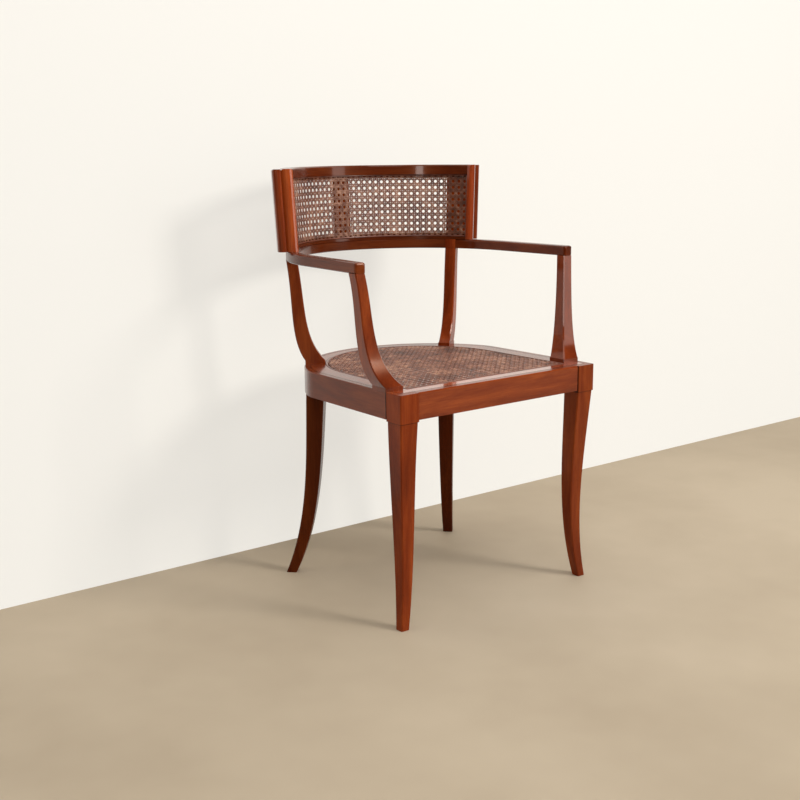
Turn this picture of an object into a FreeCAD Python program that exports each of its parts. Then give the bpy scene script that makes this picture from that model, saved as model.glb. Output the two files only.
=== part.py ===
import FreeCAD, Part
import math
import os

V = FreeCAD.Vector

# A caned armchair on sabre legs, in millimetres.
# X runs to the right as seen from the front, Y runs to the rear and Z up.
# The origin is on the floor under the middle of the chair's outline.

# Overall sizes
seat_height = 440.0
seat_width = 487.0
overall_depth = 520.0
back_top_height = 823.0

# Seat rails
rail_height = 49.5
side_rail_thickness = 26.0
front_rail_thickness = 30.0
front_rail_setback = 2.5
side_taper_deg = 1.7
seat_rear_gap = 57.0
sweep_radius = 250.0
corner_radius = 88.0
lip_width = 12.0
front_lip_width = 13.5
rail_arris = 2.0

# Caned seat frame let into the rails
inset_gap = 1.0
inset_thickness = 13.0
inset_side_width = 40.0
inset_rear_width = 25.5
inset_front_width = 29.5
cane_thickness = 1.2
cane_drop = 1.4
cane_bearing = 4.5
spline_width = 4.0
spline_depth = 4.5
spline_proud = 0.8
spline_clearance = 0.2
frame_joint_bearing_deg = 49.8
# The cane is drawn as a lattice of openings, with bars as wide as let through what it does.
seat_cane_columns = 8
seat_cane_rows = 8
seat_cane_bar = 20.0

# Front legs
leg_block_size = 43.0
leg_block_drop = 3.0
leg_arris = 1.8
# Each station is the share of the leg's length above the floor, how far the side face and
# the front face lie inside those of the block, and the width of the square section.
front_leg_stations = (
    (0.0, 4.6, 7.0, 18.2),
    (0.33, 13.6, 14.6, 26.0),
    (0.67, 9.0, 11.0, 32.8),
    (1.0, 1.8, 1.8, 39.6),
)

# Rear legs, turned so that they sweep out along the seat's rear corners
rear_leg_bearing_deg = 41.8
rear_leg_turn_deg = 45.0
rear_leg_shoulder = 3.0
# Each station is the share of the leg's length above the floor, how far its centre has
# swept out from the centre of its top, and the width of the square section.
rear_leg_stations = (
    (0.0, 59.0, 21.0),
    (0.33, 20.4, 26.6),
    (0.67, 6.0, 31.6),
    (1.0, 0.0, 36.5),
)

# Arms and the bow that joins them behind the sitter
arm_top_height = 665.5
arm_height = 19.5
bow_outer_radius = 259.0
bow_thickness = 22.0
arm_front_half_width = 270.0
arm_front_setback = 92.0
arm_top_radius = 4.0
arm_top_flats = 2
arm_bottom_radius = 1.5

# Posts under the arms
plinth_height = 7.0
plinth_step = 0.8
housing_depth = 3.0
post_base_size = 39.0
post_arris = 2.0
plinth_arris = 0.8
rear_post_width = 23.5
rear_post_bearing_deg = 33.6
# Each station is the share of the height from the plinth to the arm, the share of the
# lean that is reached there, and the width of the section along the lean.
post_stations = (
    (0.0, 0.0, 40.0),
    (0.12, 0.36, 33.5),
    (0.36, 0.67, 27.0),
    (0.67, 0.82, 23.4),
    (1.0, 1.0, 22.0),
)

# Caned back, a slightly flared shell that stands on the bow
back_flare = 8.5
top_rail_height = 20.0
bottom_rail_height = 5.5
rebate_overlap = 8.0
back_cane_setback = 5.0
back_spline_width = 3.2
back_spline_depth = 2.4
stile_bearing_deg = 22.4
stile_length = 12.0
reed_width = 18.0
reed_length = 16.0
reed_nose = 6.5
reed_nose_flats = 6
reed_top_radius = 2.8
centre_stile_width = 32.0
back_stile_arris = 0.5
back_top_radius = 2.5
back_cane_columns = 10
back_cane_rows = 3
back_cane_bar = 17.0
curved_clearance = 0.25

# Joints and fixings
tenon_thickness = 11.0
tenon_height = 30.0
tenon_length = 18.0
tenon_end_gap = 1.0
tongue_length = 12.0
tongue_thickness = 3.5
bow_tenon_height = 11.0
bow_tenon_width = 12.0
bow_tenon_length = 8.0
post_tenon_width = 14.0
post_tenon_breadth = 18.0
post_tenon_length = 16.0
rail_tongue_width = 10.0
rail_tongue_height = 18.0
rail_tongue_length = 18.0
rail_tongue_edge = 5.0
arm_tenon_size = 11.0
arm_tenon_length = 9.5
brace_reach = 62.0
brace_thickness = 20.0
brace_height = 30.0
screw_diameter = 4.0
screw_length = 34.0
screw_head_diameter = 8.0
screw_head_height = 2.6
screw_head_depth = 2.0
screw_clearance = 0.1
screw_sides = 10

# Places worked out from the sizes above
half_width = seat_width / 2.0
half_depth = overall_depth / 2.0
front_y = -half_depth
block_rear_y = front_y + leg_block_size
block_inner_x = half_width - leg_block_size
front_rail_front_y = front_y + front_rail_setback
front_rail_rear_y = front_rail_front_y + front_rail_thickness
seat_rear_y = half_depth - seat_rear_gap
sweep_centre_y = seat_rear_y - sweep_radius
rail_bottom = seat_height - rail_height
ledge_height = seat_height - inset_thickness
block_bottom = rail_bottom - leg_block_drop
arm_bottom = arm_top_height - arm_height
bow_inner_radius = bow_outer_radius - bow_thickness
bow_y = half_depth - bow_outer_radius - back_flare
side_taper = math.radians(side_taper_deg)
back_height = back_top_height - arm_top_height
back_opening_bottom = arm_top_height + bottom_rail_height
back_opening_top = back_top_height - top_rail_height
beyond = 2.0 * back_top_height
touching = 1e-6


def save(name, shape):
    shape.exportStep(os.path.join("parts", name + ".step"))


def mirrored(shape):
    """The same piece on the other side of the chair."""
    return shape.mirror(V(0, 0, 0), V(1, 0, 0))


def box(x0, y0, z0, x1, y1, z1):
    return Part.makeBox(x1 - x0, y1 - y0, z1 - z0, V(x0, y0, z0))


def line(a, b):
    return Part.LineSegment(a, b).toShape()


def arc(a, middle, b):
    return Part.Arc(a, middle, b).toShape()


def turned(u, v, z, origin, angle):
    """A point given along and across a direction in plan."""
    cosine, sine = math.cos(angle), math.sin(angle)
    return V(origin[0] + u * cosine - v * sine, origin[1] + u * sine + v * cosine, z)


def softened(u0, u1, v0, v1, low_radius, high_radius, high_flats=1):
    """Corners of a rectangle, eased by one flat below and by the given number above."""
    rounds = (
        (u1 - low_radius, v0 + low_radius, low_radius, -90.0, 1),
        (u1 - high_radius, v1 - high_radius, high_radius, 0.0, high_flats),
        (u0 + high_radius, v1 - high_radius, high_radius, 90.0, high_flats),
        (u0 + low_radius, v0 + low_radius, low_radius, 180.0, 1),
    )
    points = []
    for u, v, radius, start, flats in rounds:
        for step in range(flats + 1):
            angle = math.radians(start + 90.0 * step / flats)
            points.append((u + radius * math.cos(angle), v + radius * math.sin(angle)))
    return points


def closed_wire(points):
    return Part.makePolygon(points + [points[0]])


def square_loft(sections, radius, origin=(0.0, 0.0), angle=0.0, ruled=False):
    """A solid through eased rectangles, each given as (z, u0, u1, v0, v1)."""
    wires = []
    for z, u0, u1, v0, v1 in sections:
        corners = softened(u0, u1, v0, v1, radius, radius)
        wires.append(closed_wire([turned(u, v, z, origin, angle) for u, v in corners]))
    return Part.makeLoft(wires, True, ruled)


def eased(shape, size, chosen):
    """Takes the sharpness off the edges that the test picks."""
    return shape.makeChamfer(size, [edge for edge in shape.Edges if chosen(edge)])


# Plan of the seat

def seat_corner(side_inset, rear_inset, radius):
    """Centre of a rear corner arc, and where it meets the side and the rear sweep."""
    along = V(-math.sin(side_taper), math.cos(side_taper), 0)
    inward = V(-math.cos(side_taper), -math.sin(side_taper), 0)
    start = V(half_width, block_rear_y, 0) + inward * (side_inset + radius)
    hub = V(0, sweep_centre_y, 0)
    rear_radius = sweep_radius - rear_inset
    offset = start - hub
    half_b = offset.dot(along)
    reach = rear_radius - radius
    travel = -half_b + math.sqrt(half_b ** 2 - offset.dot(offset) + reach ** 2)
    centre = start + along * travel
    side_point = centre - inward * radius
    outward = centre - hub
    rear_point = hub + outward.normalize() * rear_radius
    return centre, side_point, rear_point, along, rear_radius


def seat_plan(side_inset, rear_inset, radius, plan_front_y):
    """A D-shaped face: straight front, tapering sides and a swept rear."""
    centre, side_point, rear_point, along, rear_radius = seat_corner(side_inset, rear_inset, radius)
    front_point = side_point - along * ((side_point.y - plan_front_y) / along.y)
    bulge = (side_point - centre) + (rear_point - centre)
    corner_middle = centre + bulge.normalize() * radius

    def left(point):
        return V(-point.x, point.y, point.z)

    rear_middle = V(0, sweep_centre_y + rear_radius, 0)
    edges = [
        line(left(front_point), front_point),
        line(front_point, side_point),
        arc(side_point, corner_middle, rear_point),
        arc(rear_point, rear_middle, left(rear_point)),
        arc(left(rear_point), left(corner_middle), left(side_point)),
        line(left(side_point), left(front_point)),
    ]
    return Part.Face(Part.Wire(edges))


def prism(face, z0, z1):
    solid = face.extrude(V(0, 0, z1 - z0))
    solid.translate(V(0, 0, z0))
    return solid


def side_face_x(y):
    """Outer face of the right side rail at a place along it."""
    return half_width - (y - block_rear_y) * math.tan(side_taper)


def side_inner_x(y):
    return side_face_x(y) - side_rail_thickness / math.cos(side_taper)


def sector(start_deg, end_deg, hub_y):
    """A tall wedge in plan between two bearings from a hub on the middle line."""
    middle = (start_deg + end_deg) / 2.0
    points = [V(0, hub_y, 0)]
    for bearing in (start_deg, middle, end_deg):
        angle = math.radians(bearing)
        points.append(V(beyond * math.cos(angle), hub_y + beyond * math.sin(angle), 0))
    return prism(Part.Face(closed_wire(points)), 0, back_top_height)


# The caned field's edge, and the frame's edge around it
field_side_inset = lip_width + inset_gap + inset_side_width
field_rear_inset = lip_width + inset_gap + inset_rear_width
inset_front_y = front_rail_front_y + front_lip_width + inset_gap
field_front_y = inset_front_y + inset_front_width


def inset_plan(grow):
    """Plan of the caned frame's outer edge, grown by a gap."""
    inset = lip_width + inset_gap - grow
    return seat_plan(inset, inset, corner_radius - inset, inset_front_y - grow)


def field_plan(grow):
    """Plan of the opening in the caned frame, grown over its bearing: a D with one arc."""
    side = half_width - (field_side_inset - grow) / math.cos(side_taper)
    rear_y = seat_rear_y - field_rear_inset + grow
    slope = math.sin(side_taper)
    radius = side * math.cos(side_taper) - slope * (rear_y - block_rear_y)
    radius = radius / (1.0 - slope)
    centre_y = rear_y - radius
    tangent = V(radius * math.cos(side_taper), centre_y + radius * slope, 0)
    front_x = side - (field_front_y - grow - block_rear_y) * math.tan(side_taper)
    front = V(front_x, field_front_y - grow, 0)
    front_left = V(-front.x, front.y, 0)
    tangent_left = V(-tangent.x, tangent.y, 0)
    edges = [
        line(front_left, front),
        line(front, tangent),
        arc(tangent, V(0, rear_y, 0), tangent_left),
        line(tangent_left, front_left),
    ]
    return Part.Face(Part.Wire(edges))


# Legs

def front_leg():
    """Right front leg: a square block, and a sabre leg that flares at the foot."""
    sections = []
    for share, side_inset, front_inset, size in front_leg_stations:
        outer_x = half_width - side_inset
        outer_y = front_y + front_inset
        sections.append((share * block_bottom, outer_x - size, outer_x, outer_y, outer_y + size))
    leg = square_loft(sections, leg_arris)
    block = square_loft(
        [
            (block_bottom, block_inner_x, half_width, front_y, block_rear_y),
            (seat_height, block_inner_x, half_width, front_y, block_rear_y),
        ],
        leg_arris,
        ruled=True,
    )
    leg = leg.fuse(block)
    leg = leg.cut(prism(inset_plan(inset_gap), ledge_height, back_top_height))
    for mortise in (front_tenon(tenon_end_gap), side_tenon(tenon_end_gap)):
        leg = leg.cut(mortise)
    return leg.removeSplitter()


def rear_leg_top():
    """Plan centre of the right rear leg where it meets the rail."""
    top_size = rear_leg_stations[-1][2]
    reach = sweep_radius - rear_leg_shoulder - top_size / 2.0
    angle = math.radians(rear_leg_bearing_deg)
    return reach * math.cos(angle), sweep_centre_y + reach * math.sin(angle)


def rear_leg():
    """Right rear leg, square to the corner, with a cheek that stands behind the rail."""
    centre = rear_leg_top()
    angle = math.radians(rear_leg_turn_deg)
    sections = []
    for share, sweep, size in rear_leg_stations:
        half = size / 2.0
        sections.append((share * rail_bottom, sweep - half, sweep + half, -half, half))
    leg = square_loft(sections, leg_arris, centre, angle)
    half = rear_leg_stations[-1][2] / 2.0
    cheek = square_loft(
        [(rail_bottom, -half, half, -half, half), (ledge_height, -half, half, -half, half)],
        leg_arris,
        centre,
        angle,
        ruled=True,
    )
    inside = seat_plan(
        side_rail_thickness, side_rail_thickness, corner_radius - side_rail_thickness, front_y
    )
    cheek = cheek.common(prism(inside, 0, seat_height))
    return leg.fuse(cheek).removeSplitter()


# Seat rails

def front_tenon(end_gap):
    """Tongue at the right end of the front rail, which the leg block's mortise takes."""
    middle_y = (front_rail_front_y + front_rail_rear_y) / 2.0
    low = rail_bottom + (ledge_height - rail_bottom - tenon_height) / 2.0
    return box(
        block_inner_x,
        middle_y - tenon_thickness / 2.0,
        low,
        block_inner_x + tenon_length + end_gap,
        middle_y + tenon_thickness / 2.0,
        low + tenon_height,
    )


def side_tenon(end_gap):
    """Tongue at the front end of the right side rail."""
    middle_x = half_width - side_rail_thickness / 2.0
    low = rail_bottom + (ledge_height - rail_bottom - tenon_height) / 2.0
    return box(
        middle_x - tenon_thickness / 2.0,
        block_rear_y - tenon_length - end_gap,
        low,
        middle_x + tenon_thickness / 2.0,
        block_rear_y,
        low + tenon_height,
    )


def rail_band():
    """The whole band of side and rear rails, with the rebate for the caned frame."""
    outer = prism(seat_plan(0, 0, corner_radius, front_y), rail_bottom, seat_height)
    inner = seat_plan(
        side_rail_thickness,
        side_rail_thickness,
        corner_radius - side_rail_thickness,
        front_y - side_rail_thickness,
    )
    outer = eased(outer, rail_arris, is_outer_top_edge)
    band = outer.cut(prism(inner, 0, back_top_height))
    return band.cut(prism(inset_plan(inset_gap), ledge_height, back_top_height))


def is_outer_top_edge(edge):
    box_of_edge = edge.BoundBox
    flat_at_top = abs(box_of_edge.ZMin - seat_height) < touching and box_of_edge.ZLength < touching
    return flat_at_top and box_of_edge.YMax > front_y + touching


def front_rail():
    rail = box(
        -block_inner_x, front_rail_front_y, rail_bottom, block_inner_x, front_rail_rear_y, seat_height
    )
    rail = eased(rail, rail_arris, is_front_rail_arris)
    rail = rail.cut(prism(inset_plan(inset_gap), ledge_height, back_top_height))
    tenon = front_tenon(0)
    rail = rail.fuse([tenon, mirrored(tenon)])
    for place in front_screw_places()[:1]:
        hole = screw(*place, screw_clearance)
        rail = rail.cut([hole, mirrored(hole)])
    return rail.removeSplitter()


def is_front_rail_arris(edge):
    bounds = edge.BoundBox
    at_top = abs(bounds.ZMin - seat_height) < touching and bounds.ZLength < touching
    return at_top and abs(bounds.YMax - front_rail_front_y) < touching


def side_rail():
    """Right side rail, from the leg block round the corner to the rear leg."""
    behind_block = box(0, block_rear_y, 0, beyond, half_depth, back_top_height)
    rail = rail_band().common(behind_block).cut(sector(rear_leg_bearing_deg, 90.0, sweep_centre_y))
    rail = rail.fuse(side_tenon(0))
    holes = post_seats() + [rail_tongue(tenon_end_gap)]
    holes.append(screw(*front_screw_places()[1], screw_clearance))
    return rail.cut(holes).removeSplitter()


def rear_rail():
    band = rail_band()
    rail = band.common(sector(rear_leg_bearing_deg, 180.0 - rear_leg_bearing_deg, sweep_centre_y))
    tongue = rail_tongue(0)
    seats = post_seats()
    rail = rail.fuse([tongue, mirrored(tongue)])
    return rail.cut(seats + [mirrored(seat) for seat in seats]).removeSplitter()


def rail_tongue(end_gap):
    """Tongue at the right end of the rear rail, let into the end of the side rail."""
    angle = math.radians(rear_leg_bearing_deg)
    middle = sweep_radius - side_rail_thickness / 2.0
    half = rail_tongue_width / 2.0
    near, far = -rail_tongue_length - end_gap, 0.0
    corners = ((middle - half, near), (middle + half, near), (middle + half, far), (middle - half, far))
    points = [turned(u, v, 0, (0.0, sweep_centre_y), angle) for u, v in corners]
    low = rail_bottom + rail_tongue_edge
    return prism(Part.Face(closed_wire(points)), low, low + rail_tongue_height)


# Caned seat frame

def groove_ring(clearance):
    """The channel round the field, as a ring of the spline's section."""
    outer = field_plan(cane_bearing + spline_width + clearance)
    inner = field_plan(cane_bearing)
    bottom = seat_height - spline_depth - clearance
    return prism(outer, bottom, seat_height).cut(prism(inner, 0, back_top_height))


def seat_frame_band():
    band = prism(inset_plan(0), ledge_height, seat_height).cut(prism(field_plan(0), 0, back_top_height))
    band = band.cut(prism(field_plan(cane_bearing), seat_height - cane_drop, back_top_height))
    return band.cut(groove_ring(spline_clearance))


def seat_frame_pieces():
    """Front, right side and rear pieces of the caned frame, cut out for the posts."""
    band = seat_frame_band()
    front_part = box(-half_width, front_y, 0, half_width, field_front_y, back_top_height)
    rear_part = sector(frame_joint_bearing_deg, 180.0 - frame_joint_bearing_deg, sweep_centre_y)
    right_part = box(0, front_y, 0, half_width, half_depth, back_top_height)
    front = band.common(front_part)
    rear = band.common(rear_part)
    right = band.cut([front_part, rear_part]).common(right_part)
    tongue = box(
        side_face_x(field_front_y) - field_side_inset + cane_bearing + spline_width + tongue_thickness,
        field_front_y - tongue_length,
        ledge_height + tongue_thickness,
        side_face_x(field_front_y) - lip_width - inset_gap - tongue_thickness,
        field_front_y,
        ledge_height + 2.0 * tongue_thickness,
    )
    front = front.cut([tongue, mirrored(tongue)])
    seats = post_seats()
    all_seats = seats + [mirrored(seat) for seat in seats]
    front = front.cut(all_seats)
    rear = rear.cut(all_seats)
    right = right.fuse(tongue).cut(seats)
    return front.removeSplitter(), right.removeSplitter(), rear.removeSplitter()


def spaced(low, high, count, bar):
    """Evenly spaced openings between two ends, with a bar between each two and at the ends."""
    size = (high - low - bar * (count + 1)) / count
    starts = [low + bar + (size + bar) * place for place in range(count)]
    return [(start, start + size) for start in starts]


def seat_cane():
    """The caned panel of the seat, its weave drawn as a lattice of square openings."""
    bottom = seat_height - cane_drop
    panel = prism(field_plan(cane_bearing), bottom, bottom + cane_thickness)
    margin = field_plan(-seat_cane_bar / 2.0)
    field = prism(margin, bottom, bottom + cane_thickness)
    bounds = margin.BoundBox
    half_bar = seat_cane_bar / 2.0
    columns = spaced(bounds.XMin - half_bar, bounds.XMax + half_bar, seat_cane_columns, seat_cane_bar)
    rows = spaced(bounds.YMin - half_bar, bounds.YMax + half_bar, seat_cane_rows, seat_cane_bar)
    openings = [
        box(x0, y0, bottom, x1, y1, bottom + cane_thickness) for x0, x1 in columns for y0, y1 in rows
    ]
    return panel.cut(field.common(openings))


def seat_spline():
    ring = groove_ring(0)
    bead_top = prism(field_plan(cane_bearing + spline_width), seat_height, seat_height + spline_proud)
    bead_top = bead_top.cut(prism(field_plan(cane_bearing), 0, back_top_height))
    return ring.fuse(bead_top).removeSplitter()


# Corner braces and fixings

def front_brace():
    """Right front brace: a block across the corner, notched round the leg block."""
    far_y = block_rear_y + brace_reach
    far_x = block_inner_x - brace_reach
    points = [
        V(far_x, front_rail_rear_y, 0),
        V(block_inner_x, front_rail_rear_y, 0),
        V(block_inner_x, block_rear_y, 0),
        V(side_inner_x(block_rear_y), block_rear_y, 0),
        V(side_inner_x(far_y), far_y, 0),
        V(side_inner_x(far_y) - brace_thickness, far_y, 0),
        V(far_x, front_rail_rear_y + brace_thickness, 0),
    ]
    brace = prism(Part.Face(closed_wire(points)), ledge_height - brace_height, ledge_height)
    for place in front_screw_places():
        brace = brace.cut(screw(*place, screw_clearance))
    return brace.removeSplitter()


def front_screw_places():
    """Head centre and direction of the brace's two screws, into the front and side rails."""
    height = ledge_height - brace_height / 2.0
    into_front = V(block_inner_x - brace_reach + brace_thickness / 2.0, front_rail_rear_y, height)
    head_offset = brace_thickness - screw_head_depth
    into_front.y += head_offset
    side_y = block_rear_y + brace_reach - brace_thickness / 2.0
    into_side = V(side_inner_x(side_y) - head_offset, side_y, height)
    return (into_front, V(0, -1, 0)), (into_side, V(1, 0, 0))


def rod(radius, length, start, direction):
    """A level rod with few sides, enough for fixings out of sight."""
    up = V(0, 0, radius)
    side = direction.cross(V(0, 0, 1)) * radius
    points = []
    for step in range(screw_sides):
        angle = 2.0 * math.pi * step / screw_sides
        points.append(start + up * math.cos(angle) + side * math.sin(angle))
    return Part.Face(closed_wire(points)).extrude(direction * length)


def screw(head_centre, direction, clearance):
    """A screw, its head sunk flush at the given point."""
    start = head_centre - direction * clearance
    head_radius = screw_head_diameter / 2.0 + clearance
    head = rod(head_radius, screw_head_height + clearance, start, direction)
    shank = rod(screw_diameter / 2.0 + clearance, screw_length + 2.0 * clearance, start, direction)
    return head.fuse(shank)


def corner_screws():
    """Two screws through each brace."""
    right = [screw(*place, 0) for place in front_screw_places()]
    return Part.makeCompound(right + [mirrored(shape) for shape in right])


# Posts

def front_post_base():
    """Plan centre of the right front post where it stands on the seat."""
    base_y = block_rear_y + plinth_step + post_base_size / 2.0
    return side_face_x(base_y) - post_base_size / 2.0, base_y


def front_post_top():
    top_size = post_stations[-1][2]
    return arm_front_half_width - bow_thickness / 2.0, front_y + arm_front_setback + top_size / 2.0


def front_post():
    """Right front post: it leaves a low plinth, sweeps back and out, and carries the arm."""
    base_x, base_y = front_post_base()
    top_x, top_y = front_post_top()
    plinth_top = seat_height + plinth_height
    sections = []
    for share, lean, size in post_stations:
        x = base_x + (top_x - base_x) * lean
        y = base_y + (top_y - base_y) * lean
        z = plinth_top + (arm_bottom - plinth_top) * share
        half = size / 2.0
        sections.append((z, x - half, x + half, y - half, y + half))
    post = square_loft(sections, post_arris)
    return post.fuse([front_plinth(), front_post_tenon(0), arm_tenon(0)]).removeSplitter()


def front_plinth():
    """Square foot of the right front post, let into the seat, flush with the rail outside."""
    base_x, base_y = front_post_base()
    half = post_base_size / 2.0
    low, high = -half - plinth_step, half + plinth_step
    sections = []
    for z in (seat_height - housing_depth, seat_height + plinth_height):
        sections.append((z, base_x + low, base_x + half, base_y + low, base_y + high))
    return square_loft(sections, plinth_arris, ruled=True)


def front_post_tenon(end_gap):
    """Tenon under the right front post, over the middle of the side rail."""
    base_y = front_post_base()[1]
    middle_x = side_face_x(base_y) - side_rail_thickness / 2.0
    half_x, half_y = post_tenon_width / 2.0, post_tenon_breadth / 2.0
    top = seat_height - housing_depth
    low = top - post_tenon_length - end_gap
    return box(middle_x - half_x, base_y - half_y, low, middle_x + half_x, base_y + half_y, top)


def post_seats():
    """Housings and mortises that the right posts need in the seat."""
    return [
        front_plinth(),
        rear_plinth(),
        front_post_tenon(tenon_end_gap),
        rear_post_tenon(tenon_end_gap),
    ]


def arm_tenon(end_gap):
    """Square tenon on the front post's top, let into the arm from below."""
    top_x, top_y = front_post_top()
    half = arm_tenon_size / 2.0
    top = arm_bottom + arm_tenon_length + end_gap
    return box(top_x - half, top_y - half, arm_bottom, top_x + half, top_y + half, top)


def rear_post_radii():
    """Base and top of the rear post's middle, as distances from the bow's axis."""
    angle = math.radians(rear_post_bearing_deg)
    rise = bow_y - sweep_centre_y
    half_b = rise * math.sin(angle)
    to_rail_face = -half_b + math.sqrt(half_b ** 2 - rise ** 2 + sweep_radius ** 2)
    return to_rail_face - post_base_size / 2.0, (bow_inner_radius + bow_outer_radius) / 2.0


def flared_radius(radius, z):
    """The radius that a face of the back has at a height, as the back leans outward."""
    return radius + back_flare * (z - arm_top_height) / back_height


def rear_post():
    """Right rear post: it sweeps up to the bow and runs on behind the cane to the top rail."""
    base_radius, top_radius = rear_post_radii()
    angle = math.radians(rear_post_bearing_deg)
    origin = (0.0, bow_y)
    half_width_across = rear_post_width / 2.0
    across = (-half_width_across, half_width_across)
    plinth_top = seat_height + plinth_height
    sections = []
    for share, lean, size in post_stations:
        middle = base_radius + (top_radius - base_radius) * lean
        z = plinth_top + (arm_bottom - plinth_top) * share
        half = size / 2.0
        sections.append((z, middle - half, middle + half, *across))
    post = square_loft(sections, post_arris, origin, angle)
    neck = square_loft(
        [
            (arm_bottom, bow_inner_radius, bow_outer_radius, *across),
            (arm_top_height, bow_inner_radius, bow_outer_radius, *across),
        ],
        back_stile_arris,
        origin,
        angle,
        ruled=True,
    )
    stile = back_stile(half_width_across, origin, angle, arm_top_height)
    post = post.fuse([rear_plinth(), rear_post_tenon(0), neck, stile])
    return post.cut([bow_tenon(side, tenon_end_gap) for side in (-1.0, 1.0)]).removeSplitter()


def rear_plinth():
    """Foot of the right rear post, let into the seat, flush with the rail outside."""
    base_radius = rear_post_radii()[0]
    half = post_base_size / 2.0
    reach = rear_post_width / 2.0 + plinth_step
    low, high = base_radius - half - plinth_step, base_radius + half
    sections = []
    for z in (seat_height - housing_depth, seat_height + plinth_height):
        sections.append((z, low, high, -reach, reach))
    angle = math.radians(rear_post_bearing_deg)
    return square_loft(sections, plinth_arris, (0.0, bow_y), angle, ruled=True)


def rear_post_tenon(end_gap):
    """Tenon under the right rear post, over the middle of the rail."""
    middle = rear_post_radii()[0] + (post_base_size - side_rail_thickness) / 2.0
    half_u, half_v = post_tenon_breadth / 2.0, post_tenon_width / 2.0
    corners = ((-half_u, -half_v), (half_u, -half_v), (half_u, half_v), (-half_u, half_v))
    angle = math.radians(rear_post_bearing_deg)
    points = [turned(middle + u, v, 0, (0.0, bow_y), angle) for u, v in corners]
    top = seat_height - housing_depth
    return prism(Part.Face(closed_wire(points)), top - post_tenon_length - end_gap, top)


def back_stile(half, origin, angle, bottom):
    """An upright behind the cane, leaning with the back, up to the top rail's rebate."""
    inner = bow_inner_radius + back_cane_setback + cane_thickness + curved_clearance * 2
    top = back_opening_top - rebate_overlap
    sections = []
    for z in (bottom, top):
        inner_radius = flared_radius(inner, z)
        outer_radius = flared_radius(bow_outer_radius, z) - half ** 2 / (2.0 * bow_outer_radius)
        sections.append((z, inner_radius, outer_radius, -half, half))
    return square_loft(sections, back_stile_arris, origin, angle, ruled=True)


# Arms and bow

def post_cutter(side):
    """A slab that trims the arm (side -1) or the bow (side 1) square to the rear post."""
    angle = math.radians(rear_post_bearing_deg)
    half = rear_post_width / 2.0
    low, high = (-half, beyond) if side < 0 else (-beyond, half)
    corners = ((0, low), (beyond, low), (beyond, high), (0, high))
    points = [turned(u, v, 0, (0.0, bow_y), angle) for u, v in corners]
    return prism(Part.Face(closed_wire(points)), 0, back_top_height)


def bow_tenon(side, end_gap):
    """Tongue into the rear post, from the arm (side -1) or from the bow (side 1)."""
    middle = (bow_inner_radius + bow_outer_radius) / 2.0
    half = rear_post_width / 2.0
    reach = bow_tenon_length + end_gap
    near, far = (-half, -half + reach) if side < 0 else (half - reach, half)
    low = (arm_bottom + arm_top_height - bow_tenon_height) / 2.0
    u0 = middle - bow_tenon_width / 2.0
    corners = [(u0, near), (u0 + bow_tenon_width, near), (u0 + bow_tenon_width, far), (u0, far)]
    angle = math.radians(rear_post_bearing_deg)
    points = [turned(u, v, 0, (0.0, bow_y), angle) for u, v in corners]
    return prism(Part.Face(closed_wire(points)), low, low + bow_tenon_height)


def arm():
    """Right arm: straight from its rounded front end, then round the bow to the rear post."""
    hub = V(0, bow_y, 0)
    front_outer = V(arm_front_half_width, front_y + arm_front_setback, 0)
    from_hub = front_outer - hub
    bearing = math.atan2(from_hub.y, from_hub.x) + math.acos(bow_outer_radius / from_hub.Length)
    radial = V(math.cos(bearing), math.sin(bearing), 0)
    forward = V(math.sin(bearing), -math.cos(bearing), 0)
    reach = from_hub.dot(forward)
    stations = [(0.0, 0.0)]
    for step in range(arm_top_flats + 1):
        angle = math.radians(90.0 * step / arm_top_flats)
        distance = reach - arm_top_radius * (1.0 - math.sin(angle))
        stations.append((distance, arm_top_radius * (1.0 - math.cos(angle))))
    wires = []
    for distance, inset in stations:
        corners = arm_section(inset)
        points = [hub + radial * u + forward * distance + V(0, 0, z) for u, z in corners]
        wires.append(closed_wire(points))
    straight = Part.makeLoft(wires, True, True)
    curved = bow_sweep(arm_section(0.0), math.degrees(bearing), rear_post_bearing_deg)
    solid = curved.cut(post_cutter(-1.0)).fuse([straight, bow_tenon(-1.0, 0)])
    return solid.cut(arm_tenon(tenon_end_gap)).removeSplitter()


def arm_section(inset):
    """Section of the arm as (radius, height) points, drawn in by an inset but at the bottom."""
    top_radius = max(arm_top_radius - inset, arm_bottom_radius)
    return softened(
        bow_inner_radius + inset,
        bow_outer_radius - inset,
        arm_bottom,
        arm_top_height - inset,
        arm_bottom_radius,
        top_radius,
        arm_top_flats,
    )


def bow_sweep(section, start_deg, end_deg):
    """A section, given as (radius, height) points, turned about the bow's upright axis."""
    face = Part.Face(closed_wire([V(radius, bow_y, z) for radius, z in section]))
    axis_point = V(0, bow_y, 0)
    face.rotate(axis_point, V(0, 0, 1), start_deg)
    return face.revolve(axis_point, V(0, 0, 1), end_deg - start_deg)


def bow():
    """The bow between the rear posts, level with the arms."""
    start = rear_post_bearing_deg
    section = softened(
        bow_inner_radius,
        bow_outer_radius,
        arm_bottom,
        arm_top_height,
        arm_bottom_radius,
        arm_bottom_radius,
    )
    solid = bow_sweep(section, start, 180.0 - start)
    cutter = post_cutter(1.0)
    tenon = bow_tenon(1.0, 0)
    solid = solid.cut([cutter, mirrored(cutter)])
    return solid.fuse([tenon, mirrored(tenon)]).removeSplitter()


# Caned back

def stile_origin():
    return (0.0, bow_y), math.radians(stile_bearing_deg)


def stile_cutter():
    """A slab that trims the back's rails and cane square to the right end stile."""
    origin, angle = stile_origin()
    corners = ((0, -beyond), (beyond, -beyond), (beyond, stile_length), (0, stile_length))
    points = [turned(u, v, 0, origin, angle) for u, v in corners]
    return prism(Part.Face(closed_wire(points)), 0, beyond)


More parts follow.
